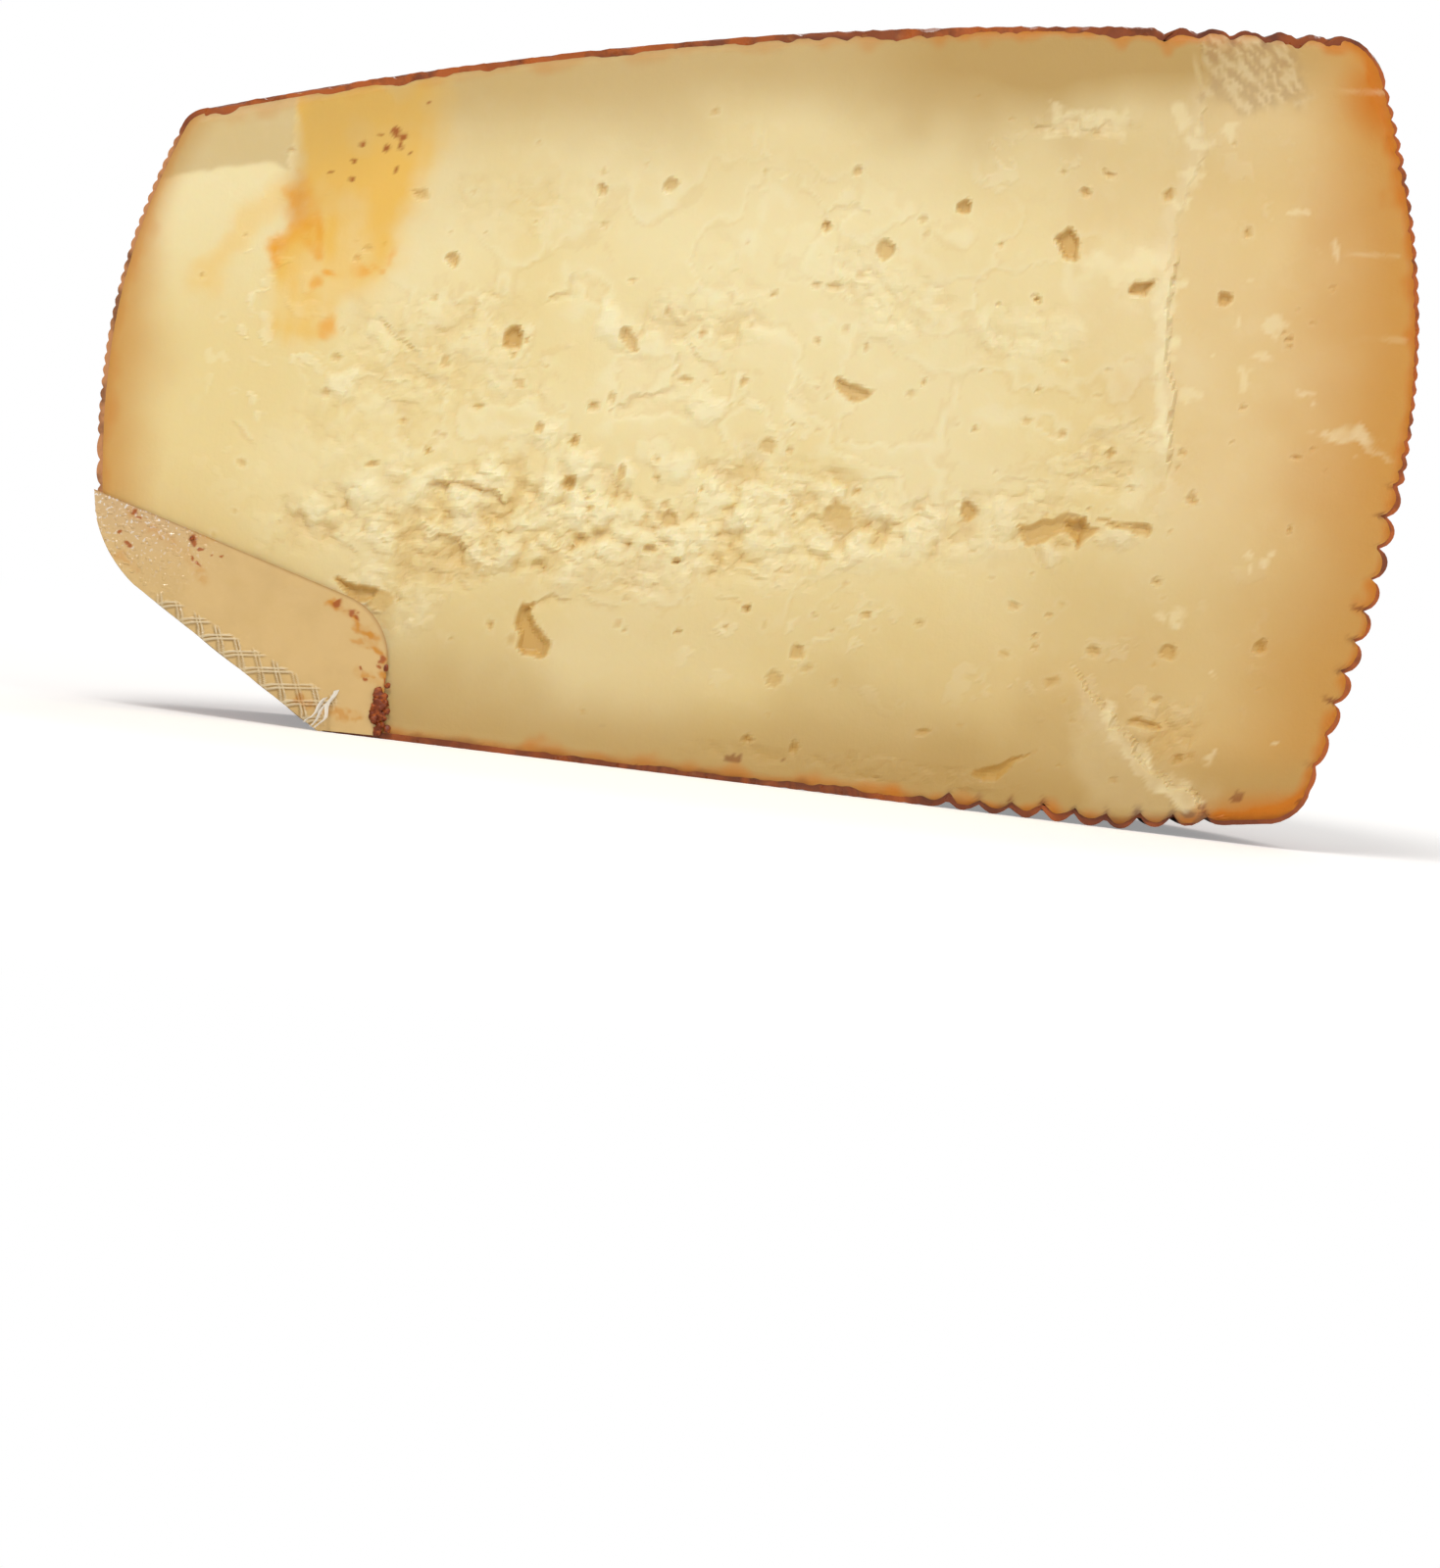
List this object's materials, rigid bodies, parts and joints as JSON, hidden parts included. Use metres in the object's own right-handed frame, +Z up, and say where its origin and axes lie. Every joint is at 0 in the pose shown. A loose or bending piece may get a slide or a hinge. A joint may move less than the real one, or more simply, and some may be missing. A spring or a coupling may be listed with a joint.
{
  "type": "aged cheese half wheel",
  "caption": "Half wheel of aged pressed cheese with a ridged spice rind, cut face to the front, with a film flange over one corner.",
  "frame": {"origin": "on the table, under the middle of the part's bounding box", "axes": "+Z up, the cut face looks along -Y, +X to the right along the cut face"},
  "size_m": [0.149, 0.0746, 0.0928],
  "materials": {
    "paste": "cut cheese paste, smooth to crumbly, slightly oily",
    "rind": "ridged rind rubbed with oil and red spice, under tight clear film",
    "film": "clear vacuum film with an embossed seal, slightly hazy"
  },
  "bodies": {
    "root": {"half_wheel": "paste", "film_flap": "film"}
  },
  "joints": []
}
